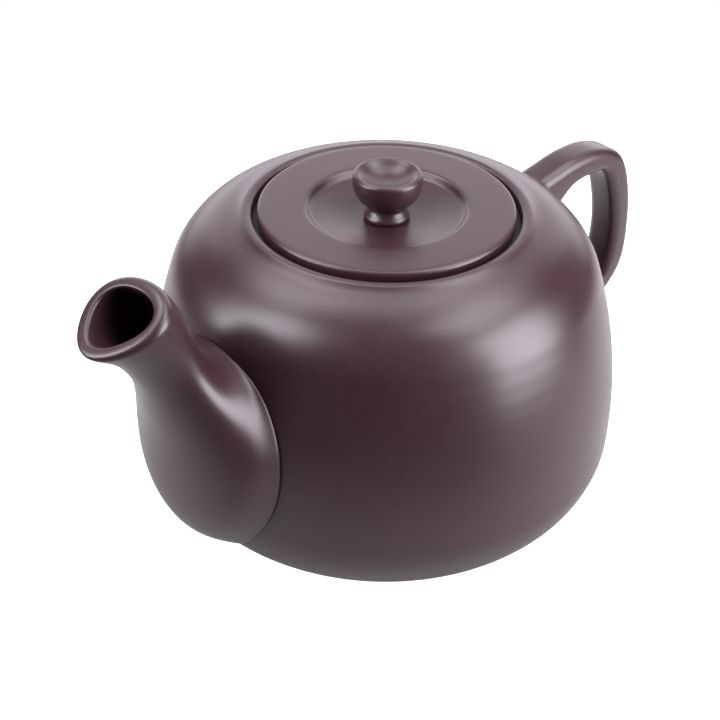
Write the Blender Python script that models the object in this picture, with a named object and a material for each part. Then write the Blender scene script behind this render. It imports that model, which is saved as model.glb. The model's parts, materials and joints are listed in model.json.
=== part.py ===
"""Yixing clay teapot: a round pot with an inset lid, modelled as the clay pieces that it is built from.

The pot stands on z = 0 with its turning axis on Z. The spout points along -X and the handle along +X.
Each piece is a closed solid of its own. Pieces that clay slip would bond are JOINT_GAP apart.
"""

import math

import bmesh
import bpy
import numpy as np
from mathutils import Matrix

MM = 0.001

# Body outline: a chain of tangent arcs, each with a radius and the angles of its outward normal.
BELLY_R = 62.0 * MM
FOOT_HEIGHT = 1.5 * MM
HEEL_RADIUS = 22.5 * MM
SIDE_RADIUS = 128.0 * MM
SHOULDER_RADIUS = 21.8 * MM
CROWN_RADIUS = 50.0 * MM
SIDE_FROM = math.radians(-3.0)
SIDE_TO = math.radians(18.0)
SHOULDER_TO = math.radians(72.5)
WALL = 3.2 * MM
JOINT_GAP = 0.3 * MM

# Where the body's pieces meet, as the outline's normal angle.
BASE_JOINT = math.radians(-80.0)
SHOULDER_JOINT = math.radians(52.0)
COLLAR_JOINT = math.radians(74.5)
OUTLINE_BOTTOM = math.radians(-89.5)
OUTLINE_TOP = math.radians(78.0)

# Foot rim under the base disc.
FOOT_R = 38.5 * MM
FOOT_WIDTH = 4.5 * MM
FOOT_SLOPE = 0.6 * MM
BASE_THICKNESS = 3.4 * MM
BASE_CHAMFER = 2.0 * MM

# Mouth: a soft bead round the opening, and the ledge inside it that carries the lid.
MOUTH_R = 34.4 * MM
BEAD_WIDTH = 3.6 * MM
BEAD_HEIGHT = 0.8 * MM
GROOVE_DEPTH = 0.2 * MM
LEDGE_R = 29.5 * MM
LEDGE_Z = 82.2 * MM
LEDGE_THICKNESS = 3.0 * MM

# Lid: plate with a dished recess above and a boss below, locating flange round the boss, turned knob.
LID_R = 33.1 * MM
LID_TOP = 86.2 * MM
LID_EDGE_FILLET = 0.9 * MM
LID_CHAMFER = 0.4 * MM
RECESS_R = 20.8 * MM
RECESS_STEP = 1.3 * MM
RECESS_LIP = 1.4 * MM
RECESS_DEPTH = 3.3 * MM
RECESS_FLOOR_R = 8.0 * MM
BOSS_DEPTH = 2.2 * MM
FLANGE_R = 28.5 * MM
FLANGE_WALL = 2.4 * MM
FLANGE_DEPTH = 8.0 * MM
FLANGE_CHAMFER = 0.6 * MM
KNOB_TOP = 95.6 * MM
KNOB_DISH = 2.4 * MM
KNOB_RIM_R = 8.4 * MM
# The knob's side as (radius, height above its foot): foot, waist, and the flare up to its rim.
KNOB_SIDE = (
    (5.6, 0.0), (5.95, 0.4), (5.8, 1.0), (5.2, 1.8), (4.75, 2.6), (4.8, 3.3),
    (5.6, 4.2), (7.1, 5.3), (8.2, 6.9), (8.8, 8.8), (8.95, 10.8), (8.7, 12.0),
)

# Spout: stations from its root inside the pot to its mouth. Each gives the front and the back of the
# section in the XZ plane, as (distance towards the spout, height), and the section's half width.
SPOUT_STATIONS = (
    ((49.0, 4.0), (53.0, 73.0), 26.0),
    ((66.0, 15.5), (55.0, 69.0), 23.5),
    ((71.5, 25.5), (57.5, 69.0), 21.5),
    ((73.0, 44.0), (62.5, 71.0), 17.0),
    ((76.5, 60.0), (65.5, 76.0), 13.0),
    ((79.5, 67.5), (68.0, 84.0), 11.5),
    ((85.5, 76.5), (70.0, 88.5), 11.5),
    ((94.5, 82.0), (73.5, 94.0), 12.0),
)
SPOUT_WALL = 2.6 * MM
SPOUT_FULLNESS = 2.0
LIP_POINT = 0.2
LIP_FROM = 0.6
SPOUT_RINGS = 22
SPOUT_SIDES = 32

# Strainer: a pierced dome in a round port through the wall behind the spout.
PORT_R = 10.5 * MM
PORT_Z = 38.0 * MM
PORT_SIDES = 40
SKIRT = 3.2 * MM
STRAINER_WALL = 1.6 * MM
STRAINER_HOLE_R = 1.15 * MM
STRAINER_HOLE_SIDES = 8
STRAINER_SIDES = 32
# Rings of holes, as (lean from the dome's axis in degrees, number of holes).
STRAINER_RINGS = ((0.0, 1), (25.0, 6), (50.0, 10))

# Handle: a strap of rounded rectangular section. Stations give its outer and its inner edge in the XZ
# plane, as (distance towards the handle, height), from the shoulder to the lower wall.
HANDLE_STATIONS = (
    ((50.0, 73.8), (52.0, 57.0)),
    ((60.0, 75.6), (61.0, 63.5)),
    ((69.6, 77.0), (67.8, 68.6)),
    ((79.6, 76.4), (75.4, 69.6)),
    ((88.2, 72.5), (81.6, 68.6)),
    ((93.2, 63.6), (85.6, 61.2)),
    ((95.6, 48.8), (88.2, 48.6)),
    ((94.0, 33.8), (87.0, 36.6)),
    ((84.0, 24.6), (81.6, 29.4)),
    ((68.0, 21.8), (66.8, 28.4)),
    ((52.0, 20.0), (52.0, 28.0)),
)
HANDLE_HALF_WIDTH = 5.3 * MM
HANDLE_EDGE = 2.4 * MM
HANDLE_RINGS = 32

TURNED_SIDES = 48
KNOB_SIDES = 32
ARC_STEP = math.radians(12.0)
EDGE_ANGLE = math.radians(35.0)
MERGE = 2e-6

CLAY = (0.085, 0.043, 0.047)
CLAY_ROUGHNESS = 0.42


def tangent_arc(previous, join, last, radius):
    """The arc that leaves the previous one at normal angle join, in the same four values."""
    _, centre_r, centre_z, old_radius = previous
    shift = old_radius - radius
    return last, centre_r + shift * math.cos(join), centre_z + shift * math.sin(join), radius


def body_arcs():
    """The outline's arcs from heel to crown: last normal angle, centre r, centre z and radius."""
    belly_z = FOOT_HEIGHT + HEEL_RADIUS + (HEEL_RADIUS - SIDE_RADIUS) * math.sin(SIDE_FROM)
    side = (SIDE_TO, BELLY_R - SIDE_RADIUS, belly_z, SIDE_RADIUS)
    heel = tangent_arc(side, SIDE_FROM, SIDE_FROM, HEEL_RADIUS)
    shoulder = tangent_arc(side, SIDE_TO, SHOULDER_TO, SHOULDER_RADIUS)
    crown = tangent_arc(shoulder, SHOULDER_TO, math.pi / 2, CROWN_RADIUS)
    return heel, side, shoulder, crown


BODY_ARCS = body_arcs()


def arc_at(angle):
    return next(found for found in BODY_ARCS if angle <= found[0])


def outline_point(angle, offset=0.0):
    """The body outline's (r, z) where its outward normal has this angle, moved outwards by offset."""
    _, centre_r, centre_z, radius = arc_at(angle)
    return centre_r + (radius + offset) * math.cos(angle), centre_z + (radius + offset) * math.sin(angle)


def outline(first, last, offset=0.0):
    """Points of the body outline between two normal angles, with the arcs' ends and the belly among them."""
    inner = [stop for stop in (SIDE_FROM, 0.0, SIDE_TO, SHOULDER_TO) if first < stop < last]
    stops = [first, *inner, last]
    points = [outline_point(first, offset)]
    for start, end in zip(stops, stops[1:]):
        steps = math.ceil((end - start) / ARC_STEP)
        points += [outline_point(start + (end - start) * i / steps, offset) for i in range(1, steps + 1)]
    return points


def joint_sides(angle):
    """Normal angles just below and just above a joint, half a joint gap away from it at mid wall."""
    turn = 0.5 * JOINT_GAP / (arc_at(angle)[3] - 0.5 * WALL)
    return angle - turn, angle + turn


def arc(centre_r, centre_z, radius, first_degrees, last_degrees, steps):
    """Points along a circular arc in the profile plane."""
    angles = np.radians(np.linspace(first_degrees, last_degrees, steps + 1))
    return [(centre_r + radius * math.cos(a), centre_z + radius * math.sin(a)) for a in angles]


def clay_material(name):
    material = bpy.data.materials.new(name)
    material.use_nodes = True
    shader = material.node_tree.nodes["Principled BSDF"]
    shader.inputs["Base Color"].default_value = (*CLAY, 1.0)
    shader.inputs["Roughness"].default_value = CLAY_ROUGHNESS
    shader.inputs["Metallic"].default_value = 0.0
    material.diffuse_color = (*CLAY, 1.0)
    return material


def add_object(name, bm, parent=None, cutter=False):
    """Turns a bmesh into a named object, shaded smooth with its crisp edges kept."""
    mesh = bpy.data.meshes.new(name)
    bm.to_mesh(mesh)
    bm.free()
    mesh.shade_smooth()
    mesh.set_sharp_from_angle(angle=EDGE_ANGLE)
    obj = bpy.data.objects.new(name, mesh)
    bpy.context.scene.collection.objects.link(obj)
    obj.parent = parent
    if cutter:
        obj.hide_render = True
        obj.display_type = "WIRE"
    else:
        mesh.materials.append(clay_material(name + "_clay"))
    return obj


def turned(name, profile, sides=TURNED_SIDES, parent=None, cutter=False):
    """A solid of revolution about Z from (r, z) points; a profile that starts on the axis ends there too."""
    bm = bmesh.new()
    verts = [bm.verts.new((r, 0.0, z)) for r, z in profile]
    ends = list(zip(verts, verts[1:]))
    if profile[0][0] > 0.0:
        ends.append((verts[-1], verts[0]))
    edges = [bm.edges.new(pair) for pair in ends]
    bmesh.ops.spin(
        bm,
        geom=verts + edges,
        cent=(0, 0, 0),
        axis=(0, 0, 1),
        angle=math.tau,
        steps=sides,
        use_duplicate=False,
    )
    bmesh.ops.remove_doubles(bm, verts=bm.verts, dist=MERGE)
    bmesh.ops.recalc_face_normals(bm, faces=bm.faces)
    return add_object(name, bm, parent, cutter)


def cut(obj, cutter):
    modifier = obj.modifiers.new("cut_" + cutter.name, "BOOLEAN")
    modifier.operation = "DIFFERENCE"
    modifier.solver = "EXACT"
    modifier.object = cutter


def smooth_path(points, count):
    """A Catmull-Rom curve through the points, read at count evenly spaced steps."""
    points = np.asarray(points, float)
    padded = np.vstack([2 * points[0] - points[1], points, 2 * points[-1] - points[-2]])
    result = []
    for s in np.linspace(0.0, len(points) - 1.0, count):
        i = min(int(s), len(points) - 2)
        u = s - i
        a, b, c, d = padded[i : i + 4]
        curve = 2 * b + (c - a) * u + (2 * a - 5 * b + 4 * c - d) * u**2 + (3 * b - a - 3 * c + d) * u**3
        result.append(0.5 * curve)
    return np.array(result)


def bridge(bm, rings):
    """Faces between neighbouring rings of vertices, each ring closed on itself."""
    for low, high in zip(rings, rings[1:]):
        for i in range(len(low)):
            j = (i + 1) % len(low)
            bm.faces.new((low[j], low[i], high[i], high[j]))


def base_disc():
    """The pot's floor, with a low rim under it to stand on."""
    base_top = FOOT_HEIGHT + BASE_THICKNESS
    edge = joint_sides(BASE_JOINT)[0]
    inner_r, inner_z = outline_point(edge, -WALL)
    foot_inner = FOOT_R - FOOT_WIDTH
    turned(
        "base_disc",
        [
            (0.0, FOOT_HEIGHT),
            (foot_inner - FOOT_SLOPE, FOOT_HEIGHT),
            (foot_inner, 0.0),
            (FOOT_R, 0.0),
            (FOOT_R + FOOT_SLOPE, FOOT_HEIGHT),
            *outline(OUTLINE_BOTTOM, edge)[1:],
            (inner_r, inner_z),
            (inner_r - BASE_CHAMFER, base_top),
            (0.0, base_top),
        ],
    )


def body_shell(name, first_joint, last_joint):
    """A band of the body between two joints, one wall thick."""
    low = joint_sides(first_joint)[1]
    high = joint_sides(last_joint)[0]
    return turned(name, outline(low, high) + outline(low, high, -WALL)[::-1])


def mouth_ring():
    """The collar: a soft bead round the mouth, and inside it the ledge that the lid rests on."""
    seam = joint_sides(COLLAR_JOINT)[1]
    crown_z = outline_point(OUTLINE_TOP)[1]
    bead_r = MOUTH_R + 0.5 * BEAD_WIDTH
    groove_z = crown_z - GROOVE_DEPTH
    ledge_under = LEDGE_Z - LEDGE_THICKNESS
    turned(
        "mouth_ring",
        [
            (LEDGE_R, ledge_under),
            outline_point(seam, -WALL),
            outline_point(seam),
            (bead_r + 0.75 * BEAD_WIDTH, groove_z - 0.5 * GROOVE_DEPTH),
            (bead_r + 0.5 * BEAD_WIDTH, groove_z),
            (bead_r + 0.27 * BEAD_WIDTH, crown_z + 0.65 * BEAD_HEIGHT),
            (bead_r, crown_z + BEAD_HEIGHT),
            (bead_r - 0.27 * BEAD_WIDTH, crown_z + 0.7 * BEAD_HEIGHT),
            (MOUTH_R, crown_z),
            (MOUTH_R, LEDGE_Z),
            (LEDGE_R, LEDGE_Z),
        ],
    )


def body_envelope():
    """A cutter a joint gap larger than the whole round body, which seats the spout and the handle."""
    profile = outline(OUTLINE_BOTTOM, OUTLINE_TOP, JOINT_GAP)
    return turned("body_envelope", [(0.0, profile[0][1]), *profile, (0.0, profile[-1][1])], cutter=True)


def superellipse(turn):
    """(along, across) on a slightly squared unit circle."""
    power = 2.0 / SPOUT_FULLNESS
    along = math.copysign(abs(math.cos(turn)) ** power, math.cos(turn))
    across = math.copysign(abs(math.sin(turn)) ** power, math.sin(turn))
    return along, across


def spout(envelope):
    """A tube that swells into a broad root, seated on the body wall and flared to a pouring lip."""
    stations = [(*front, *back, half) for front, back, half in SPOUT_STATIONS]
    bm = bmesh.new()
    rings = []
    for step, (front_x, front_z, back_x, back_z, half) in enumerate(smooth_path(stations, SPOUT_RINGS) * MM):
        share = step / (SPOUT_RINGS - 1)
        point = LIP_POINT * max(0.0, share - LIP_FROM) / (1.0 - LIP_FROM)
        ring = []
        for side in range(SPOUT_SIDES):
            turn = math.tau * side / SPOUT_SIDES
            along, across = superellipse(turn)
            x = 0.5 * (front_x + back_x + along * (front_x - back_x))
            z = 0.5 * (front_z + back_z + along * (front_z - back_z))
            ring.append(bm.verts.new((-x, half * across * (1.0 - point * math.cos(turn)), z)))
        rings.append(ring)
    bridge(bm, rings)
    obj = add_object("spout", bm)
    shell = obj.modifiers.new("shell", "SOLIDIFY")
    shell.thickness = SPOUT_WALL
    shell.offset = -1.0
    shell.use_even_offset = True
    cut(obj, envelope)


def strainer_port(wall):
    """Cuts the round port that lets tea from the pot into the spout's root."""
    bm = bmesh.new()
    place = Matrix.Translation((-BELLY_R, 0.0, PORT_Z)) @ Matrix.Rotation(math.pi / 2, 4, "Y")
    bmesh.ops.create_cone(
        bm,
        cap_ends=True,
        segments=PORT_SIDES,
        radius1=PORT_R,
        radius2=PORT_R,
        depth=4 * WALL,
        matrix=place,
    )
    cut(wall, add_object("port_cutter", bm, cutter=True))


def spout_strainer():
    """A pierced dome that bulges into the pot, with its skirt in the port."""
    outer_r = PORT_R - JOINT_GAP
    inner_r = outer_r - STRAINER_WALL
    inner = [(0.0, inner_r), *arc(0.0, 0.0, inner_r, 90.0, 0.0, 5)[1:], (inner_r, -SKIRT)]
    outer = [(outer_r, -SKIRT), *arc(0.0, 0.0, outer_r, 0.0, 90.0, 5)[:-1], (0.0, outer_r)]
    dome = turned("spout_strainer", inner + outer, sides=STRAINER_SIDES)
    dome.rotation_euler = (0.0, math.pi / 2, 0.0)
    dome.location = (WALL + JOINT_GAP - BELLY_R + JOINT_GAP, 0.0, PORT_Z)

    bm = bmesh.new()
    for lean, count in STRAINER_RINGS:
        for i in range(count):
            aim = Matrix.Rotation(math.tau * i / count, 4, "Z") @ Matrix.Rotation(math.radians(lean), 4, "Y")
            bmesh.ops.create_cone(
                bm,
                cap_ends=True,
                segments=STRAINER_HOLE_SIDES,
                radius1=STRAINER_HOLE_R,
                radius2=STRAINER_HOLE_R,
                depth=3 * STRAINER_WALL,
                matrix=aim @ Matrix.Translation((0.0, 0.0, 0.5 * (inner_r + outer_r))),
            )
    cut(dome, add_object("drill_cutter", bm, parent=dome, cutter=True))


def strap_section(half_thickness):
    """A rounded rectangle as (through, across) points about the strap's middle."""
    edge = min(HANDLE_EDGE, 0.8 * half_thickness)
    points = []
    for first, through, across in ((0, 1, 1), (90, -1, 1), (180, -1, -1), (270, 1, -1)):
        centre = through * (half_thickness - edge), across * (HANDLE_HALF_WIDTH - edge)
        points += arc(*centre, edge, first, first + 90, 2)
    return points


def handle(envelope):
    """A strap bent into an ear, thicker where it meets the shoulder."""
    bm = bmesh.new()
    rings = []
    stations = [(*outer, *inner) for outer, inner in HANDLE_STATIONS]
    for outer_x, outer_z, inner_x, inner_z in smooth_path(stations, HANDLE_RINGS) * MM:
        half = 0.5 * math.hypot(outer_x - inner_x, outer_z - inner_z)
        ring = []
        for through, across in strap_section(half):
            share = 0.5 + 0.5 * through / half
            x = inner_x + share * (outer_x - inner_x)
            z = inner_z + share * (outer_z - inner_z)
            ring.append(bm.verts.new((x, across, z)))
        rings.append(ring)
    bridge(bm, rings)
    bm.faces.new(rings[0])
    bm.faces.new(rings[-1])
    bmesh.ops.recalc_face_normals(bm, faces=bm.faces)
    cut(add_object("handle", bm), envelope)


def lid_plate(parent):
    underside = LEDGE_Z + JOINT_GAP
    recess_z = LID_TOP - RECESS_DEPTH
    boss_r = FLANGE_R - FLANGE_WALL - JOINT_GAP
    turned(
        "lid_plate",
        [
            (0.0, underside - BOSS_DEPTH),
            (boss_r - LID_CHAMFER, underside - BOSS_DEPTH),
            (boss_r, underside - BOSS_DEPTH + LID_CHAMFER),
            (boss_r, underside),
            (LID_R - LID_CHAMFER, underside),
            (LID_R, underside + LID_CHAMFER),
            *arc(LID_R - LID_EDGE_FILLET, LID_TOP - LID_EDGE_FILLET, LID_EDGE_FILLET, 0.0, 90.0, 3),
            (RECESS_R + 0.3 * RECESS_STEP, LID_TOP),
            (RECESS_R, LID_TOP - 0.3 * RECESS_LIP),
            (RECESS_R - RECESS_STEP, LID_TOP - RECESS_LIP),
            (RECESS_FLOOR_R, recess_z),
            (0.0, recess_z),
        ],
        parent=parent,
    )


def lid_flange(parent):
    """The ring under the lid that centres it in the ledge."""
    bottom = LEDGE_Z - FLANGE_DEPTH
    turned(
        "lid_flange",
        [
            (FLANGE_R - FLANGE_WALL, bottom),
            (FLANGE_R - FLANGE_CHAMFER, bottom),
            (FLANGE_R, bottom + FLANGE_CHAMFER),
            (FLANGE_R, LEDGE_Z),
            (FLANGE_R - FLANGE_WALL, LEDGE_Z),
        ],
        parent=parent,
    )


def knob(parent):
    """A dished button on a waisted stem."""
    foot = LID_TOP - RECESS_DEPTH + JOINT_GAP
    side = [(r * MM, foot + height * MM) for r, height in KNOB_SIDE]
    turned(
        "knob",
        [
            (0.0, foot),
            *side,
            (KNOB_RIM_R, KNOB_TOP),
            (0.9 * KNOB_RIM_R, KNOB_TOP - 0.15 * KNOB_DISH),
            (0.6 * KNOB_RIM_R, KNOB_TOP - 0.7 * KNOB_DISH),
            (0.0, KNOB_TOP - KNOB_DISH),
        ],
        sides=KNOB_SIDES,
        parent=parent,
    )


def main():
    for obj in list(bpy.data.objects):
        bpy.data.objects.remove(obj, do_unlink=True)
    base_disc()
    wall = body_shell("body_wall", BASE_JOINT, SHOULDER_JOINT)
    body_shell("shoulder_disc", SHOULDER_JOINT, COLLAR_JOINT)
    mouth_ring()
    strainer_port(wall)
    spout_strainer()
    envelope = body_envelope()
    spout(envelope)
    handle(envelope)
    lift_axis = bpy.data.objects.new("lid_lift_axis", None)
    bpy.context.scene.collection.objects.link(lift_axis)
    lid_plate(lift_axis)
    lid_flange(lift_axis)
    knob(lift_axis)


main()
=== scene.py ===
"""The looks of the yixing clay teapot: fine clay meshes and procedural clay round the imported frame.

Each visible piece stands for one CAD node and rides on that node's body. Lengths are in metres.
"""

import json
import math

import bmesh
import bpy
import numpy as np
from mathutils import Matrix, Quaternion, Vector


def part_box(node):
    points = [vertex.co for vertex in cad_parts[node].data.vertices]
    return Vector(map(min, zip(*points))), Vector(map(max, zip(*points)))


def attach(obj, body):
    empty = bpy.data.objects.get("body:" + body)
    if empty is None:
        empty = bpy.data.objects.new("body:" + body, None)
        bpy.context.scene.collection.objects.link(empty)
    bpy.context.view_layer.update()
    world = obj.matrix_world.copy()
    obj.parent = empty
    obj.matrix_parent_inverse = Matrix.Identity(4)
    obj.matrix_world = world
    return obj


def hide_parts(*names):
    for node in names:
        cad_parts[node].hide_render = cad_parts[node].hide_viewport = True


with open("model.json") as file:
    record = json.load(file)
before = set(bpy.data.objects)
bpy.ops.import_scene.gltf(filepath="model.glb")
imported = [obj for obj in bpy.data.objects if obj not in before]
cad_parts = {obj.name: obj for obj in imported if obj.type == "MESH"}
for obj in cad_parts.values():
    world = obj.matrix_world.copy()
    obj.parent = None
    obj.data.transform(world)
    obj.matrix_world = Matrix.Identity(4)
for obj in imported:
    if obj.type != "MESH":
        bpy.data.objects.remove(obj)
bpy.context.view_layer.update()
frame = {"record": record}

MM = 0.001

# Body outline: tangent arcs, each with a radius and the angles of its outward normal.
BELLY_R = 62.0 * MM
FOOT_HEIGHT = 1.5 * MM
HEEL_RADIUS = 22.5 * MM
SIDE_RADIUS = 128.0 * MM
SHOULDER_RADIUS = 21.8 * MM
CROWN_RADIUS = 50.0 * MM
SIDE_FROM = math.radians(-3.0)
SIDE_TO = math.radians(18.0)
SHOULDER_TO = math.radians(72.5)
WALL = 3.2 * MM
BASE_JOINT = math.radians(-80.0)
SHOULDER_JOINT = math.radians(52.0)
COLLAR_JOINT = math.radians(74.5)
OUTLINE_BOTTOM = math.radians(-89.5)
OUTLINE_TOP = math.radians(78.0)

FOOT_R = 38.5 * MM
FOOT_WIDTH = 4.5 * MM
FOOT_SLOPE = 0.6 * MM
FOOT_EDGE = 0.6 * MM
FOOT_FILLET = 0.4 * MM
HEEL_START = OUTLINE_BOTTOM + math.radians(4.0)
BASE_THICKNESS = 3.4 * MM
BASE_SLOPE = 2.0 * MM
BASE_FILLET = 1.5 * MM

MOUTH_R = 34.4 * MM
BEAD_WIDTH = 3.6 * MM
BEAD_HEIGHT = 0.8 * MM
GROOVE_BELOW = 0.24 * MM
# Points of the bead from outside to inside: across from its middle in widths, and up in heights.
BEAD_POINTS = ((0.44, 0.22), (0.22, 0.8), (0.0, 1.0), (-0.22, 0.86), (-0.42, 0.45))
BEAD_MIDDLE = 0.5 * BEAD_WIDTH
GROOVE_OUT = 0.66 * BEAD_WIDTH
BEAD_STEPS = 81
# How far below the crown the bead's inner edge is, and the point where the mouth's side starts.
BEAD_EDGE_BELOW = 0.24 * MM
MOUTH_SIDE_BELOW = 0.4 * MM
LEDGE_R = 29.5 * MM
LEDGE_Z = 82.2 * MM
LEDGE_THICKNESS = 3.0 * MM
LEDGE_FILLET = 0.4 * MM
LEDGE_EDGE = 0.5 * MM
ROUGH_MARGIN = 0.05 * MM

LID_R = 33.1 * MM
LID_TOP = 86.2 * MM
LID_UNDERSIDE = 82.5 * MM
LID_EDGE = 1.2 * MM
LID_LOWER_EDGE = 0.5 * MM
BOSS_R = 25.8 * MM
BOSS_DEPTH = 2.2 * MM
BOSS_EDGE = 0.6 * MM
BOSS_FILLET = 0.3 * MM
RECESS_R = 20.8 * MM
RECESS_STEP = 1.3 * MM
RECESS_LIP = 1.4 * MM
RECESS_DEPTH = 3.3 * MM
RECESS_FLOOR_R = 8.0 * MM
RECESS_EDGE = 0.8 * MM
RECESS_FILLET = 0.9 * MM
RECESS_SOFTENING = 3.5 * MM
FLANGE_R = 28.5 * MM
FLANGE_WALL = 2.4 * MM
FLANGE_BOTTOM = 74.2 * MM
FLANGE_EDGE = 0.8 * MM
# The knob's profile as (radius, height) in mm: foot and waist, bowl, rim and dish.
KNOB_FOOT = ((4.6, 82.75), (5.4, 82.95), (5.9, 83.5), (5.8, 84.2), (5.2, 85.0), (4.75, 85.8), (4.8, 86.5))
KNOB_BOWL = ((5.6, 87.3), (7.1, 88.5), (8.2, 90.1), (8.8, 92.0), (8.93, 93.8), (8.8, 94.9))
KNOB_RIM = ((8.3, 95.42), (7.7, 95.54), (7.0, 95.2))
KNOB_DISH = ((5.4, 94.25), (3.2, 93.5), (1.4, 93.25), (0.0, 93.2))

# Spout stations from root to mouth: front (x, z), back (x, z), half width, in mm, x towards the spout.
SPOUT_STATIONS = (
    ((49.0, 4.0), (53.0, 73.0), 26.0),
    ((66.0, 15.5), (55.0, 69.0), 23.5),
    ((71.5, 25.5), (57.5, 69.0), 21.5),
    ((73.0, 44.0), (62.5, 71.0), 17.0),
    ((76.5, 60.0), (65.5, 76.0), 13.0),
    ((79.5, 67.5), (68.0, 84.0), 11.5),
    ((85.5, 76.5), (70.0, 88.5), 11.5),
    ((94.5, 82.0), (73.5, 94.0), 12.0),
)
# The share of the spout's length that each section is averaged over, to either side.
SPOUT_EASE = 0.07
EASE_STEPS = (-1.0, -0.5, 0.0, 0.5, 1.0)
SPOUT_WALL = 2.6 * MM
LIP_POINT = 0.2
LIP_FROM = 0.6
LIP_WIDTH = 3.8 * MM
LIP_OUTER_EDGE = 2.7 * MM
LIP_INNER_EDGE = 0.8 * MM
# Shares of the spout's length: where the bore starts, a short step back from the lip, and where the
# search for the body's surface ends.
BORE_START = 0.97
LIP_STEP = 0.01
ROOT_SEARCH_END = 0.75
# The share of the bore that takes its size from the lip is one over this.
BORE_BLEND = 5.0
PORT_R = 10.5 * MM
PORT_Z = 38.0 * MM
STRAINER_R = 10.2 * MM
STRAINER_WALL = 1.6 * MM
STRAINER_SKIRT = 3.2 * MM
STRAINER_HOLE_R = 1.15 * MM
# Rings of holes: how far each leans from the dome's middle in degrees, and how many holes it has.
STRAINER_RINGS = ((0.0, 1), (25.0, 6), (50.0, 10))

# Handle stations from the shoulder to the lower wall: outer edge (x, z), inner edge (x, z), in mm.
HANDLE_STATIONS = (
    ((50.0, 73.8), (52.0, 57.0)),
    ((60.0, 75.6), (61.0, 63.5)),
    ((69.6, 77.0), (67.8, 68.6)),
    ((79.6, 76.4), (75.4, 69.6)),
    ((88.2, 72.5), (81.6, 68.6)),
    ((93.2, 63.6), (85.6, 61.2)),
    ((95.6, 48.8), (88.2, 48.6)),
    ((94.0, 33.8), (87.0, 36.6)),
    ((84.0, 24.6), (81.6, 29.4)),
    ((68.0, 21.8), (66.8, 28.4)),
    ((52.0, 20.0), (52.0, 28.0)),
)
HANDLE_HALF_WIDTH = 5.3 * MM
HANDLE_EDGE = 2.7 * MM
MOST_EDGE_SHARE = 0.85
# Shares of the handle's length where the searches for its upper and lower joints end.
UPPER_SEARCH_END = 0.4
LOWER_SEARCH_END = 0.6

# Clay: the two ends of its clouded colour, and its roughness where it is most and least burnished.
CLAY_DARK = (0.0235, 0.0090, 0.0130)
CLAY_LIGHT = (0.0300, 0.0118, 0.0170)
GLOSS_LOW = 0.31
GLOSS_HIGH = 0.37
# Where the clay is least burnished, its colour is darkened to this share as painted shade, and its roughness
# is raised by the next value.
UNBURNISHED_PAINTED_SHADE = 0.55
DULLING = 0.3
CLOUD_SCALE = 38.0
CLOUD_DETAIL = 4.0
SAND_SCALE = 1900.0
SAND_DETAIL = 2.0
SAND_DARK = (0.80, 0.80, 0.80)
SAND_LIGHT = (1.22, 1.18, 1.15)
GRAIN_SCALE = 1300.0
GRAIN_DETAIL = 3.0
GRAIN_STRENGTH = 0.3
GRAIN_HEIGHT = 0.02 * MM
NOISE_ROUGHNESS = 0.55

# How fine the meshes are.
TURNED_SIDES = 240
ARC_STEP = math.radians(2.0)
LONGEST_STEP = 1.2 * MM
EDGE_STEPS = 6
SHARP_ANGLE = math.radians(50.0)
SPOUT_RINGS = 90
SPOUT_SIDES = 144
HANDLE_RINGS = 150
CORNER_STEPS = 8
HANDLE_SIDES = 4 * (CORNER_STEPS + 1)
JOINT_STEPS = 8
KNOB_STEPS = 160
KNOB_SIDES = 128
STRAINER_STEPS = 25
STRAINER_SIDES = 96
HOLE_SIDES = 20
PORT_SIDES = 96
HALVINGS = 40
# A small step in the share of a sweep's length, to find its direction there.
SHARE_STEP = 1e-3

# How the spout and handle meet the body: a rolled edge, a fillet, and how far both go under its skin.
SPOUT_ROLL = 1.4 * MM
HANDLE_FILLET = 2.8 * MM
SUNK = 0.6 * MM

# Camera.
LENS_MM = 85.09
SENSOR_MM = 36.0
CLIP_START = 10.0 * MM
CAMERA_TARGET = Vector((-4.53, 4.23, 38.2)) * MM
CAMERA_DISTANCE = 460.3 * MM
CAMERA_AZIMUTH = math.radians(-43.0)
CAMERA_ELEVATION = math.radians(34.6245)
CAMERA_ROLL = math.radians(0.9638)

# Light panels: name, azimuth to the right of the camera's side, elevation, distance, size, lean about
# the line to the pot, and radiance. Angles are in degrees, lengths in metres.
PANELS = (
    ("softbox_right", 71.0, 16.0, 0.9, (0.60, 0.82), 0.0, 12.5),
    ("softbox_left", -74.0, 31.0, 0.9, (0.38, 0.86), -20.0, 12.5),
    ("strip_right_near", 80.0, 60.0, 1.0, (0.62, 0.44), 0.0, 8.0),
    ("strip_right_far", 140.0, 60.0, 1.0, (0.50, 0.28), 0.0, 5.0),
    ("strip_left_far", -126.0, 62.0, 1.0, (0.60, 0.30), 0.0, 8.0),
    ("panel_top", 180.0, 76.0, 1.3, (0.8, 0.7), 0.0, 2.4),
    ("wall_back", 180.0, 22.0, 1.3, (2.0, 0.7), 0.0, 1.9),
    ("wall_low", 180.0, 2.0, 1.3, (2.3, 0.35), 0.0, 2.2),
)
LIGHT_TINT = (1.0, 0.985, 1.04)
LIGHT_AIM = Vector((0.0, 0.0, 45.0)) * MM
WORLD_GREY = 0.09
# The floor's reflectance is a painted pool of light for the clay to reflect, palest round the point below
# and darker away from it. Near and far are each a distance from it and the reflectance there.
FLOOR_PAINTED_POOL_CENTRE = Vector((0.11, 0.10, 0.0))
FLOOR_NEAR = (0.12, 0.68)
FLOOR_FAR = (0.36, 0.06)
FLOOR_RADIUS = 0.35
FLOOR_SIDES = 96
FLOOR_ROUGHNESS = 0.9
FLOOR_SPECULAR = 0.1


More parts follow.
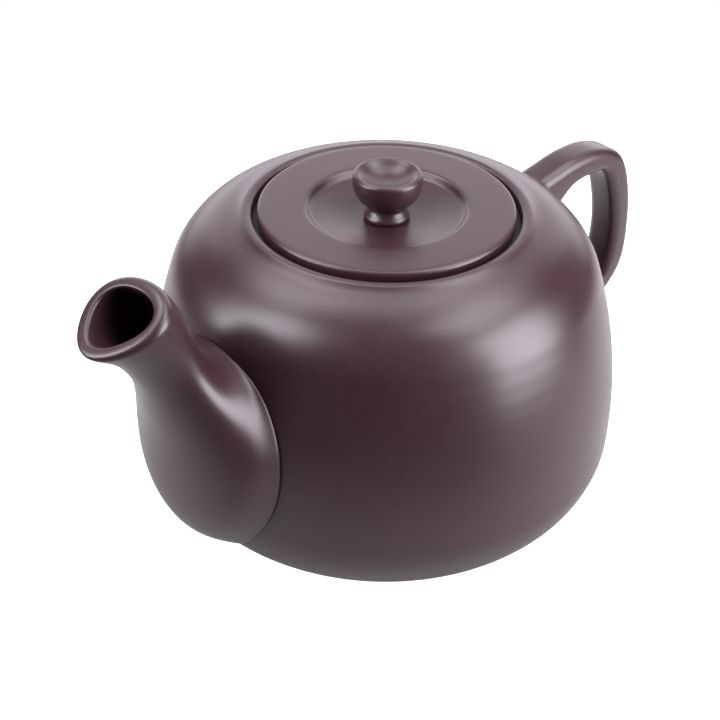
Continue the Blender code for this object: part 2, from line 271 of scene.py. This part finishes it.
def add_camera():
    """A camera on a sphere round its target, rolled a little about its view axis."""
    camera = bpy.data.cameras.new("camera")
    camera.lens = LENS_MM
    camera.sensor_width = SENSOR_MM
    camera.clip_start = CLIP_START
    obj = bpy.data.objects.new("camera", camera)
    bpy.context.scene.collection.objects.link(obj)
    back = Vector(
        (
            math.sin(CAMERA_AZIMUTH) * math.cos(CAMERA_ELEVATION),
            -math.cos(CAMERA_AZIMUTH) * math.cos(CAMERA_ELEVATION),
            math.sin(CAMERA_ELEVATION),
        )
    )
    turn = Matrix.Rotation(CAMERA_ROLL, 4, back)
    obj.matrix_world = (
        Matrix.Translation(CAMERA_TARGET + CAMERA_DISTANCE * back)
        @ turn
        @ back.to_track_quat("Z", "Y").to_matrix().to_4x4()
    )
    bpy.context.scene.camera = obj


# Body outline.


def tangent_arc(previous, join, last, radius):
    """The arc that leaves the previous one at normal angle join, in the same four values."""
    _, centre_r, centre_z, old_radius = previous
    shift = old_radius - radius
    return last, centre_r + shift * math.cos(join), centre_z + shift * math.sin(join), radius


def body_arcs():
    """The outline's arcs from heel to crown: last normal angle, centre r, centre z and radius."""
    belly_z = FOOT_HEIGHT + HEEL_RADIUS + (HEEL_RADIUS - SIDE_RADIUS) * math.sin(SIDE_FROM)
    side = (SIDE_TO, BELLY_R - SIDE_RADIUS, belly_z, SIDE_RADIUS)
    heel = tangent_arc(side, SIDE_FROM, SIDE_FROM, HEEL_RADIUS)
    shoulder = tangent_arc(side, SIDE_TO, SHOULDER_TO, SHOULDER_RADIUS)
    crown = tangent_arc(shoulder, SHOULDER_TO, math.pi / 2, CROWN_RADIUS)
    return heel, side, shoulder, crown


BODY_ARCS = body_arcs()


def outline_point(angle, offset=0.0):
    _, centre_r, centre_z, radius = next(found for found in BODY_ARCS if angle <= found[0])
    return centre_r + (radius + offset) * math.cos(angle), centre_z + (radius + offset) * math.sin(angle)


def outline(first, last, offset=0.0):
    """Closely spaced points of the body outline between two normal angles."""
    inner = [stop for stop in (SIDE_FROM, 0.0, SIDE_TO, SHOULDER_TO) if first < stop < last]
    stops = [first, *inner, last]
    points = [outline_point(first, offset)]
    for start, end in zip(stops, stops[1:]):
        steps = math.ceil((end - start) / ARC_STEP)
        points += [outline_point(start + (end - start) * i / steps, offset) for i in range(1, steps + 1)]
    return points


def body_distance(points):
    """How far each point is outside the round body, and the body's outward normal there."""
    points = np.asarray(points, float)
    radius = np.hypot(points[..., 0], points[..., 1])
    height = points[..., 2]
    best = np.full(radius.shape, np.inf)
    normal_r = np.zeros(radius.shape)
    normal_z = np.zeros(radius.shape)
    first = OUTLINE_BOTTOM
    for last, centre_r, centre_z, arc_radius in BODY_ARCS:
        angle = np.clip(np.arctan2(height - centre_z, radius - centre_r), first, last)
        away = np.hypot(
            radius - centre_r - arc_radius * np.cos(angle), height - centre_z - arc_radius * np.sin(angle)
        )
        signed = (radius - centre_r) * np.cos(angle) + (height - centre_z) * np.sin(angle) - arc_radius
        closer = away < np.abs(best)
        best = np.where(closer, np.copysign(away, signed), best)
        normal_r = np.where(closer, np.cos(angle), normal_r)
        normal_z = np.where(closer, np.sin(angle), normal_z)
        first = last
    around = points[..., :2] / np.maximum(radius, 1e-9)[..., None]
    return best, np.concatenate([around * normal_r[..., None], normal_z[..., None]], axis=-1)


# Mesh helpers.


def smooth_path(points, where):
    """A Catmull-Rom curve through the points, read at each share of its length in where."""
    points = np.asarray(points, float)
    padded = np.vstack([2 * points[0] - points[1], points, 2 * points[-1] - points[-2]])
    place = np.asarray(where, float) * (len(points) - 1)
    start = np.clip(place.astype(int), 0, len(points) - 2)
    u = (place - start)[..., None]
    a, b, c, d = (padded[start + k] for k in range(4))
    return 0.5 * (
        2 * b + (c - a) * u + (2 * a - 5 * b + 4 * c - d) * u**2 + (3 * b - a - 3 * c + d) * u**3
    )


def curve_to(start, corner, end, steps):
    """Points of the curve that leaves start towards corner and reaches end from corner."""
    shares = [i / steps for i in range(steps + 1)]
    return [(1 - t) ** 2 * start + 2 * t * (1 - t) * corner + t**2 * end for t in shares]


def rounded(corners):
    """A profile through (r, z, edge) corners, each rounded over that much of both its sides."""
    points = [np.array(corners[0][:2])]
    for before, (r, z, edge), after in zip(corners, corners[1:], corners[2:]):
        corner = np.array((r, z))
        if edge == 0.0:
            points.append(corner)
            continue
        back = np.array(before[:2]) - corner
        on = np.array(after[:2]) - corner
        start = corner + edge * back / np.linalg.norm(back)
        end = corner + edge * on / np.linalg.norm(on)
        points += curve_to(start, corner, end, EDGE_STEPS)
    points.append(np.array(corners[-1][:2]))
    return [tuple(point) for point in points]


def even_steps(profile):
    """The profile with points added, so that none of its steps is long."""
    points = [profile[0]]
    for (r0, z0), (r1, z1) in zip(profile, profile[1:]):
        steps = max(1, math.ceil(math.hypot(r1 - r0, z1 - z0) / LONGEST_STEP))
        points += [(r0 + (r1 - r0) * i / steps, z0 + (z1 - z0) * i / steps) for i in range(1, steps + 1)]
    return points


def add_mesh(name, verts, faces, material):
    mesh = bpy.data.meshes.new(name)
    mesh.from_pydata([tuple(vert) for vert in verts], [], faces)
    mesh.update()
    mesh.shade_smooth()
    mesh.set_sharp_from_angle(angle=SHARP_ANGLE)
    mesh.materials.append(material)
    obj = bpy.data.objects.new(name, mesh)
    bpy.context.scene.collection.objects.link(obj)
    return obj


def turned(name, profile, material, sides=TURNED_SIDES):
    """A solid of revolution about Z from (r, z) points. Where r is 0 at both ends, they become poles."""
    profile = even_steps(profile + [profile[0]] if profile[0][0] > 0.0 else profile)
    if profile[0] == profile[-1]:
        profile = profile[:-1]
    turns = np.linspace(0.0, math.tau, sides, endpoint=False)
    verts = []
    rows = []
    for r, z in profile:
        if r < 1e-7:
            rows.append([len(verts)])
            verts.append((0.0, 0.0, z))
            continue
        rows.append(list(range(len(verts), len(verts) + sides)))
        verts += [(r * math.cos(turn), r * math.sin(turn), z) for turn in turns]
    pairs = list(zip(rows, rows[1:]))
    if profile[0][0] > 0.0:
        pairs.append((rows[-1], rows[0]))
    faces = []
    for low, high in pairs:
        for i in range(sides):
            j = (i + 1) % sides
            if len(low) == 1:
                faces.append((low[0], high[j], high[i]))
            elif len(high) == 1:
                faces.append((low[i], low[j], high[0]))
            else:
                faces.append((low[i], low[j], high[j], high[i]))
    return add_mesh(name, verts, faces, material)


def skin(name, rings, material, cap_first=False, cap_last=False, join=False):
    """A surface over rings of points, capped or joined end to end."""
    count = len(rings[0])
    verts = np.concatenate(rings)
    pairs = [(i, i + 1) for i in range(len(rings) - 1)]
    if join:
        pairs.append((len(rings) - 1, 0))
    faces = []
    for low, high in pairs:
        for i in range(count):
            j = (i + 1) % count
            faces.append((low * count + i, low * count + j, high * count + j, high * count + i))
    if cap_first:
        faces.append(tuple(range(count))[::-1])
    if cap_last:
        faces.append(tuple(range((len(rings) - 1) * count, len(rings) * count)))
    return add_mesh(name, verts, faces, material)


def cross_body(surface, inside, outside):
    """For each side of a swept surface, the share of its length where it leaves the body."""
    low = np.full(surface(0.0).shape[0], inside)
    high = np.full(low.shape, outside)
    for _ in range(HALVINGS):
        middle = 0.5 * (low + high)
        within = body_distance(surface(middle))[0] < 0.0
        low = np.where(within, middle, low)
        high = np.where(within, high, middle)
    return 0.5 * (low + high)


def unit(vectors):
    return vectors / np.linalg.norm(vectors, axis=-1, keepdims=True)


def joint_rings(surface, crossing, towards, edge, flare):
    """Rings that carry a swept surface down onto the body and under its skin.

    towards is the sign of the step in length that leads away from the body. The last edge of the surface is
    rounded, and it meets the body that much flare further out: a roll if it is negative, a fillet if not.
    """
    step = SHARE_STEP * towards
    foot = surface(crossing)
    along = unit(surface(crossing + step) - foot)
    start_share = crossing + step * edge / np.linalg.norm(surface(crossing + step) - foot, axis=-1)
    start = surface(start_share)
    around = np.roll(foot, -1, axis=0) - np.roll(foot, 1, axis=0)
    outward = unit(np.cross(around, along) * towards)
    if np.mean(np.sum(outward * (foot - foot.mean(axis=0)), axis=-1)) < 0.0:
        outward = -outward
    normal = body_distance(foot)[1]
    spread = unit(outward - np.sum(outward * normal, axis=-1, keepdims=True) * normal)
    end = foot + flare * spread
    distance, end_normal = body_distance(end)
    end = end - distance[:, None] * end_normal
    rings = curve_to(start, foot, end, JOINT_STEPS)
    return start_share, [*rings, end - SUNK * end_normal]


# Clay.


def noise(nodes, links, coordinates, scale, detail):
    texture = nodes.new("ShaderNodeTexNoise")
    texture.inputs["Scale"].default_value = scale
    texture.inputs["Detail"].default_value = detail
    texture.inputs["Roughness"].default_value = NOISE_ROUGHNESS
    links.new(coordinates.outputs["Object"], texture.inputs["Vector"])
    return texture.outputs["Fac"]


def ramp(nodes, links, value, low, high):
    """A colour ramp between two (position, colour) stops."""
    node = nodes.new("ShaderNodeValToRGB")
    for element, (position, colour) in zip(node.color_ramp.elements, (low, high)):
        element.position = position
        element.color = (*colour, 1.0)
    links.new(value, node.inputs["Fac"])
    return node.outputs["Color"]


def remap(nodes, links, value, source, target):
    """value with the source range stretched onto the target range, and held at its ends."""
    node = nodes.new("ShaderNodeMapRange")
    node.inputs["From Min"].default_value, node.inputs["From Max"].default_value = source
    node.inputs["To Min"].default_value, node.inputs["To Max"].default_value = target
    links.new(value, node.inputs["Value"])
    return node.outputs["Result"]


def multiply(nodes, links, first, second):
    node = nodes.new("ShaderNodeMix")
    node.data_type = "RGBA"
    node.blend_type = "MULTIPLY"
    node.inputs["Factor"].default_value = 1.0
    links.new(first, node.inputs["A"])
    links.new(second, node.inputs["B"])
    return node.outputs["Result"]


def clay(name, burnish_and_light=1.0):
    """Purple-brown stoneware: clouded colour, fine sandy grain and a gloss that comes from burnishing. Less
    burnished clay is rougher, and its colour is darkened as painted shade.
    """
    material = bpy.data.materials.new(name)
    material.use_nodes = True
    nodes = material.node_tree.nodes
    links = material.node_tree.links
    shader = nodes["Principled BSDF"]
    coordinates = nodes.new("ShaderNodeTexCoord")

    cloud = noise(nodes, links, coordinates, CLOUD_SCALE, CLOUD_DETAIL)
    # Painted shade: less burnished clay, used on inside, under and hidden faces, gets a darker colour.
    shade = UNBURNISHED_PAINTED_SHADE + (1.0 - UNBURNISHED_PAINTED_SHADE) * burnish_and_light
    dark = [shade * value for value in CLAY_DARK]
    light = [shade * value for value in CLAY_LIGHT]
    tint = ramp(nodes, links, cloud, (0.3, dark), (0.72, light))
    sand = noise(nodes, links, coordinates, SAND_SCALE, SAND_DETAIL)
    sand_tint = ramp(nodes, links, sand, (0.3, SAND_DARK), (0.75, SAND_LIGHT))
    links.new(multiply(nodes, links, tint, sand_tint), shader.inputs["Base Color"])

    duller = DULLING * (1.0 - burnish_and_light)
    gloss = remap(nodes, links, cloud, (0.3, 0.7), (GLOSS_LOW + duller, GLOSS_HIGH + duller))
    links.new(gloss, shader.inputs["Roughness"])

    grain = noise(nodes, links, coordinates, GRAIN_SCALE, GRAIN_DETAIL)
    bump = nodes.new("ShaderNodeBump")
    bump.inputs["Strength"].default_value = GRAIN_STRENGTH
    bump.inputs["Distance"].default_value = GRAIN_HEIGHT
    links.new(grain, bump.inputs["Height"])
    links.new(bump.outputs["Normal"], shader.inputs["Normal"])
    shader.inputs["IOR"].default_value = 1.5
    return material


# Pieces.


def roughen_and_shade(piece, is_inside):
    """Gives the faces that no burnishing tool reaches a rougher clay of their own, with its colour darkened
    as painted shade.
    """
    piece.data.materials.append(clay(piece.name + "_rough_painted_shade", burnish_and_light=0.0))
    for face in piece.data.polygons:
        if is_inside(face.center):
            face.material_index = 1


def place(piece, node):
    """piece stands for the CAD node and rides on its body, and the CAD node is hidden."""
    body = next(name for name, members in frame["record"]["behaviour"]["bodies"].items() if node in members)
    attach(piece, body)
    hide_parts(node)


def base():
    """The floor of the pot with its foot rim."""
    edge_r, edge_z = outline_point(BASE_JOINT)
    inner_r, inner_z = outline_point(BASE_JOINT, -WALL)
    floor_z = FOOT_HEIGHT + BASE_THICKNESS
    foot_inner = FOOT_R - FOOT_WIDTH
    under = rounded(
        [
            (0.0, FOOT_HEIGHT, 0.0),
            (foot_inner - FOOT_SLOPE, FOOT_HEIGHT, FOOT_FILLET),
            (foot_inner, 0.0, FOOT_EDGE),
            (FOOT_R, 0.0, FOOT_EDGE),
            (FOOT_R + FOOT_SLOPE, FOOT_HEIGHT, FOOT_FILLET),
            (*outline_point(HEEL_START), 0.0),
        ]
    )
    top = rounded(
        [
            (edge_r, edge_z, 0.0),
            (inner_r, inner_z, 0.0),
            (inner_r - BASE_SLOPE, floor_z, BASE_FILLET),
            (0.0, floor_z, 0.0),
        ]
    )
    profile = under + outline(HEEL_START, BASE_JOINT)[1:] + top[1:]
    # The base's clay is less burnished: it is rougher, and darker as painted shade low on the pot and under
    # it.
    place(turned("base_clay", profile, clay("base_clay", 0.3)), "base_disc")


def shell(name, node, first, last):
    """A band of the body's wall between two normal angles of its outline."""
    profile = outline(first, last) + outline(first, last, -WALL)[::-1]
    piece = turned(name, profile, clay(name))
    place(piece, node)
    return piece


def mouth():
    """The collar with a soft bead round the opening and the ledge inside it."""
    crown_z = outline_point(OUTLINE_TOP)[1]
    bead_r = MOUTH_R + BEAD_MIDDLE
    crest = [(bead_r + across * BEAD_WIDTH, crown_z + up * BEAD_HEIGHT) for across, up in BEAD_POINTS]
    groove = (bead_r + GROOVE_OUT, crown_z - GROOVE_BELOW)
    edge = (MOUTH_R, crown_z - BEAD_EDGE_BELOW)
    knots = [outline_point(COLLAR_JOINT), groove, *crest, edge]
    bead = [tuple(point) for point in smooth_path(knots, np.linspace(0.0, 1.0, BEAD_STEPS))]
    inside = rounded(
        [
            (MOUTH_R, crown_z - MOUTH_SIDE_BELOW, 0.0),
            (MOUTH_R, LEDGE_Z, LEDGE_FILLET),
            (LEDGE_R, LEDGE_Z, LEDGE_EDGE),
            (LEDGE_R, LEDGE_Z - LEDGE_THICKNESS, LEDGE_EDGE),
            (*outline_point(COLLAR_JOINT, -WALL), 0.0),
        ]
    )
    ring = turned("mouth_clay", bead + inside, clay("mouth_clay"))
    # Inside the mouth the clay is rougher, and it is darkened as painted shade in the gap round the lid.
    roughen_and_shade(ring, lambda centre: math.hypot(centre.x, centre.y) < MOUTH_R + ROUGH_MARGIN)
    place(ring, "mouth_ring")


def spout_surface(turns, inset=0.0):
    """A function from a share of the spout's length to its section's points, inset below the skin."""
    stations = np.array([(*front, *back, half) for front, back, half in SPOUT_STATIONS]) * MM
    along = np.cos(turns)
    across = np.sin(turns)

    def points(share):
        share = np.broadcast_to(share, turns.shape)
        reach = np.minimum(SPOUT_EASE, np.minimum(share, 1.0 - share))
        eased = [smooth_path(stations, share + step * reach) for step in EASE_STEPS]
        front_x, front_z, back_x, back_z, half = np.mean(eased, axis=0).T
        point = LIP_POINT * np.clip((share - LIP_FROM) / (1.0 - LIP_FROM), 0.0, None)
        middle = np.stack([-0.5 * (front_x + back_x), 0.0 * half, 0.5 * (front_z + back_z)], axis=-1)
        arm = np.stack(
            [
                -0.5 * along * (front_x - back_x),
                half * across * (1.0 - point * along),
                0.5 * along * (front_z - back_z),
            ],
            axis=-1,
        )
        length = np.linalg.norm(arm, axis=-1, keepdims=True)
        return middle + arm * (1.0 - inset / length)

    return points


def spout():
    """A hollow spout: rolled onto the body, flared, with a thick lip that is rounded outside and in."""
    turns = np.linspace(0.0, math.tau, SPOUT_SIDES, endpoint=False)
    outer = spout_surface(turns)
    inner = spout_surface(turns, SPOUT_WALL)
    lip_bore = spout_surface(turns, LIP_WIDTH)
    start, rings = joint_rings(outer, cross_body(outer, 0.0, ROOT_SEARCH_END), 1.0, SPOUT_ROLL, -SPOUT_ROLL)

    lip = outer(1.0)
    lip_step = np.linalg.norm(outer(1.0 - LIP_STEP) - lip, axis=-1)
    lip_share = 1.0 - LIP_STEP * LIP_OUTER_EDGE / lip_step
    inner_lip = lip_bore(1.0)
    flat = unit(inner_lip - lip)
    down = unit(lip_bore(BORE_START) - inner_lip)
    lip_rings = curve_to(outer(lip_share), lip, lip + LIP_OUTER_EDGE * flat, 2 * EDGE_STEPS)
    bevel = inner_lip - LIP_INNER_EDGE * flat
    lip_rings += curve_to(bevel, inner_lip, inner_lip + LIP_INNER_EDGE * down, EDGE_STEPS)

    bore_end = cross_body(inner, 0.0, ROOT_SEARCH_END)
    bore_rings = []
    for i in range(1, SPOUT_RINGS + 1):
        share = i / SPOUT_RINGS
        fade = (1.0 - min(1.0, BORE_BLEND * share)) ** 2
        where = BORE_START + (bore_end - BORE_START) * share
        bore_rings.append(fade * lip_bore(where) + (1.0 - fade) * inner(where))
    under = bore_rings[-1] - SUNK * body_distance(bore_rings[-1])[1]

    skin_rings = [outer(start + (lip_share - start) * i / SPOUT_RINGS) for i in range(1, SPOUT_RINGS)]
    rings = rings[::-1] + skin_rings + lip_rings + bore_rings + [under]
    place(skin("spout_clay", rings, clay("spout_clay"), join=True), "spout")


def strap_section(half_thickness):
    """Through and across coordinates of a rounded rectangle, for an array of half thicknesses."""
    edge = np.minimum(HANDLE_EDGE, MOST_EDGE_SHARE * half_thickness)
    through = []
    across = []
    for first, side_t, side_a in ((0, 1, 1), (90, -1, 1), (180, -1, -1), (270, 1, -1)):
        for k in range(CORNER_STEPS + 1):
            turn = math.radians(first + 90.0 * k / CORNER_STEPS)
            through.append(side_t * (half_thickness - edge) + edge * math.cos(turn))
            across.append(side_a * (HANDLE_HALF_WIDTH - edge) + edge * math.sin(turn))
    return np.array(through), np.array(across)


def handle_surface():
    """A function from shares of the handle's length, one for each side of the strap, to their points."""
    stations = np.array([(*outer, *inner) for outer, inner in HANDLE_STATIONS]) * MM

    def points(share):
        share = np.broadcast_to(share, (HANDLE_SIDES,))
        outer_x, outer_z, inner_x, inner_z = smooth_path(stations, share).T
        half = 0.5 * np.hypot(outer_x - inner_x, outer_z - inner_z)
        through, across = (np.diagonal(table) for table in strap_section(half))
        mix = 0.5 + 0.5 * through / half
        return np.stack(
            [inner_x + mix * (outer_x - inner_x), across, inner_z + mix * (outer_z - inner_z)], axis=-1
        )

    return points


def handle():
    """A strap ear, filleted onto the body at both of its ends."""
    surface = handle_surface()
    top = cross_body(surface, 0.0, UPPER_SEARCH_END)
    bottom = cross_body(surface, 1.0, LOWER_SEARCH_END)
    first, first_rings = joint_rings(surface, top, 1.0, HANDLE_FILLET, HANDLE_FILLET)
    last, last_rings = joint_rings(surface, bottom, -1.0, HANDLE_FILLET, HANDLE_FILLET)
    strap = [surface(first + (last - first) * i / HANDLE_RINGS) for i in range(1, HANDLE_RINGS)]
    rings = first_rings[::-1] + strap + last_rings
    place(skin("handle_clay", rings, clay("handle_clay"), cap_first=True, cap_last=True), "handle")


def strainer():
    """The pierced dome in the wall behind the spout."""
    inner_r = STRAINER_R - STRAINER_WALL
    quarter = np.linspace(0.0, math.pi / 2, STRAINER_STEPS)
    outer = [(STRAINER_R * math.cos(a), STRAINER_R * math.sin(a)) for a in quarter]
    inner = [(inner_r * math.cos(a), inner_r * math.sin(a)) for a in quarter[::-1]]
    profile = [
        (0.0, inner_r),
        *inner[1:],
        (inner_r, -STRAINER_SKIRT),
        (STRAINER_R, -STRAINER_SKIRT),
        *outer[:-1],
        (0.0, STRAINER_R),
    ]
    # The strainer's clay is unburnished: it is rougher, and darker as painted shade inside the pot.
    dome = turned("strainer_clay", profile, clay("strainer_clay", 0.0), sides=STRAINER_SIDES)
    bm = bmesh.new()
    for lean, count in STRAINER_RINGS:
        for i in range(count):
            aim = Matrix.Rotation(math.tau * i / count, 4, "Z") @ Matrix.Rotation(math.radians(lean), 4, "Y")
            bmesh.ops.create_cone(
                bm,
                cap_ends=True,
                segments=HOLE_SIDES,
                radius1=STRAINER_HOLE_R,
                radius2=STRAINER_HOLE_R,
                depth=3 * STRAINER_WALL,
                matrix=aim @ Matrix.Translation((0.0, 0.0, 0.5 * (inner_r + STRAINER_R))),
            )
    low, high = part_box("spout_strainer")
    lay = Matrix.Translation((high.x - STRAINER_R, 0.0, PORT_Z)) @ Matrix.Rotation(math.pi / 2, 4, "Y")
    cut_away(dome, bm)
    dome.data.transform(lay)
    place(dome, "spout_strainer")


def cut_away(obj, cutter_bm):
    """Cuts the cutter's shape out of the object, and keeps the result as its mesh."""
    mesh = bpy.data.meshes.new("cutter")
    cutter_bm.to_mesh(mesh)
    cutter_bm.free()
    cutter = bpy.data.objects.new("cutter", mesh)
    bpy.context.scene.collection.objects.link(cutter)
    modifier = obj.modifiers.new("cut", "BOOLEAN")
    modifier.object = cutter
    modifier.operation = "DIFFERENCE"
    modifier.solver = "EXACT"
    bpy.context.view_layer.update()
    result = bpy.data.meshes.new_from_object(obj.evaluated_get(bpy.context.evaluated_depsgraph_get()))
    obj.modifiers.clear()
    obj.data = result
    bpy.data.objects.remove(cutter)


def port(wall):
    """Opens the wall behind the spout."""
    bm = bmesh.new()
    lay = Matrix.Translation((-BELLY_R, 0.0, PORT_Z)) @ Matrix.Rotation(math.pi / 2, 4, "Y")
    bmesh.ops.create_cone(
        bm, cap_ends=True, segments=PORT_SIDES, radius1=PORT_R, radius2=PORT_R, depth=4 * WALL, matrix=lay
    )
    cut_away(wall, bm)


def lid():
    """The lid's plate: a boss below, and a dished recess round the knob."""
    recess_z = LID_TOP - RECESS_DEPTH
    profile = rounded(
        [
            (0.0, LID_UNDERSIDE - BOSS_DEPTH, 0.0),
            (BOSS_R, LID_UNDERSIDE - BOSS_DEPTH, BOSS_EDGE),
            (BOSS_R, LID_UNDERSIDE, BOSS_FILLET),
            (LID_R, LID_UNDERSIDE, LID_LOWER_EDGE),
            (LID_R, LID_TOP, LID_EDGE),
            (RECESS_R, LID_TOP, RECESS_EDGE),
            (RECESS_R - RECESS_STEP, LID_TOP - RECESS_LIP, RECESS_FILLET),
            (RECESS_FLOOR_R, recess_z, RECESS_SOFTENING),
            (0.0, recess_z, 0.0),
        ]
    )
    place(turned("lid_clay", profile, clay("lid_clay")), "lid_plate")


def flange():
    """The ring under the lid that keeps it centred."""
    profile = rounded(
        [
            (FLANGE_R - FLANGE_WALL, LEDGE_Z, 0.0),
            (FLANGE_R - FLANGE_WALL, FLANGE_BOTTOM, FLANGE_EDGE),
            (FLANGE_R, FLANGE_BOTTOM, FLANGE_EDGE),
            (FLANGE_R, LEDGE_Z, 0.0),
        ]
    )
    # The flange's clay is less burnished: it is rougher, and darker as painted shade under the lid.
    place(turned("flange_clay", profile, clay("flange_clay", 0.3)), "lid_flange")


def knob():
    """A bowl on a waisted foot, with a rounded rim and a shallow dish."""
    knots = np.array(KNOB_FOOT + KNOB_BOWL + KNOB_RIM + KNOB_DISH) * MM
    curve = smooth_path(knots, np.linspace(0.0, 1.0, KNOB_STEPS))
    profile = [(0.0, curve[0][1]), *[tuple(point) for point in curve[:-1]], (0.0, curve[-1][1])]
    place(turned("knob_clay", profile, clay("knob_clay"), sides=KNOB_SIDES), "knob")


# Stage.


def area_light(name, azimuth, elevation, distance, size, lean, radiance):
    """A soft panel aimed at the pot's middle, placed by azimuth from the camera's side to its right."""
    light = bpy.data.lights.new(name, "AREA")
    light.shape = "RECTANGLE"
    light.size, light.size_y = size
    light.energy = math.pi * size[0] * size[1] * radiance
    light.color = LIGHT_TINT
    obj = bpy.data.objects.new(name, light)
    bpy.context.scene.collection.objects.link(obj)
    turn = CAMERA_AZIMUTH + math.radians(azimuth)
    rise = math.radians(elevation)
    away = Vector((math.sin(turn) * math.cos(rise), -math.cos(turn) * math.cos(rise), math.sin(rise)))
    obj.location = LIGHT_AIM + distance * away
    facing = away.to_track_quat("Z", "Y") @ Quaternion((0.0, 0.0, 1.0), math.radians(lean))
    obj.rotation_euler = facing.to_euler()
    obj.visible_camera = False


def floor():
    """A pale floor that the camera sees as white, and that lights the clay less than it shows. Its
    reflectance is a painted pool of light, palest round one point.
    """
    bm = bmesh.new()
    bmesh.ops.create_circle(bm, cap_ends=True, segments=FLOOR_SIDES, radius=FLOOR_RADIUS)
    mesh = bpy.data.meshes.new("floor")
    bm.to_mesh(mesh)
    bm.free()
    obj = bpy.data.objects.new("floor", mesh)
    bpy.context.scene.collection.objects.link(obj)
    material = bpy.data.materials.new("floor")
    material.use_nodes = True
    nodes = material.node_tree.nodes
    links = material.node_tree.links
    shader = nodes["Principled BSDF"]
    coordinates = nodes.new("ShaderNodeTexCoord")
    away = nodes.new("ShaderNodeVectorMath")
    away.operation = "DISTANCE"
    away.inputs[1].default_value = FLOOR_PAINTED_POOL_CENTRE
    links.new(coordinates.outputs["Object"], away.inputs[0])
    # Painted pool of light: the reflectance fades from pale near its centre to dark further out.
    painted_pool = nodes.new("ShaderNodeMapRange")
    painted_pool.interpolation_type = "SMOOTHSTEP"
    painted_pool.inputs["From Min"].default_value, painted_pool.inputs["To Min"].default_value = FLOOR_NEAR
    painted_pool.inputs["From Max"].default_value, painted_pool.inputs["To Max"].default_value = FLOOR_FAR
    links.new(away.outputs["Value"], painted_pool.inputs["Value"])
    links.new(painted_pool.outputs["Result"], shader.inputs["Base Color"])
    shader.inputs["Roughness"].default_value = FLOOR_ROUGHNESS
    shader.inputs["Specular IOR Level"].default_value = FLOOR_SPECULAR
    shown = nodes.new("ShaderNodeEmission")
    shown.inputs["Strength"].default_value = 1.0
    both = nodes.new("ShaderNodeAddShader")
    ray = nodes.new("ShaderNodeLightPath")
    pick = nodes.new("ShaderNodeMixShader")
    links.new(shader.outputs["BSDF"], both.inputs[0])
    links.new(shown.outputs["Emission"], both.inputs[1])
    links.new(ray.outputs["Is Camera Ray"], pick.inputs["Fac"])
    links.new(shader.outputs["BSDF"], pick.inputs[1])
    links.new(both.outputs["Shader"], pick.inputs[2])
    links.new(pick.outputs["Shader"], nodes["Material Output"].inputs["Surface"])
    mesh.materials.append(material)


def studio():
    """Surroundings that the camera sees as white, and soft panels at the sides, above and behind."""
    world = bpy.data.worlds.new("studio")
    world.use_nodes = True
    nodes = world.node_tree.nodes
    background = nodes["Background"]
    background.inputs["Color"].default_value = (1.0, 1.0, 1.0, 1.0)
    ray = nodes.new("ShaderNodeLightPath")
    strength = nodes.new("ShaderNodeMapRange")
    strength.inputs["To Min"].default_value = WORLD_GREY
    world.node_tree.links.new(ray.outputs["Is Camera Ray"], strength.inputs["Value"])
    world.node_tree.links.new(strength.outputs["Result"], background.inputs["Strength"])
    bpy.context.scene.world = world
    for panel in PANELS:
        area_light(*panel)
    bpy.context.scene.view_settings.view_transform = "Standard"


add_camera()
base()
port(shell("wall_clay", "body_wall", BASE_JOINT, SHOULDER_JOINT))
shell("shoulder_clay", "shoulder_disc", SHOULDER_JOINT, COLLAR_JOINT)
mouth()
spout()
strainer()
handle()
lid()
flange()
knob()
floor()
studio()
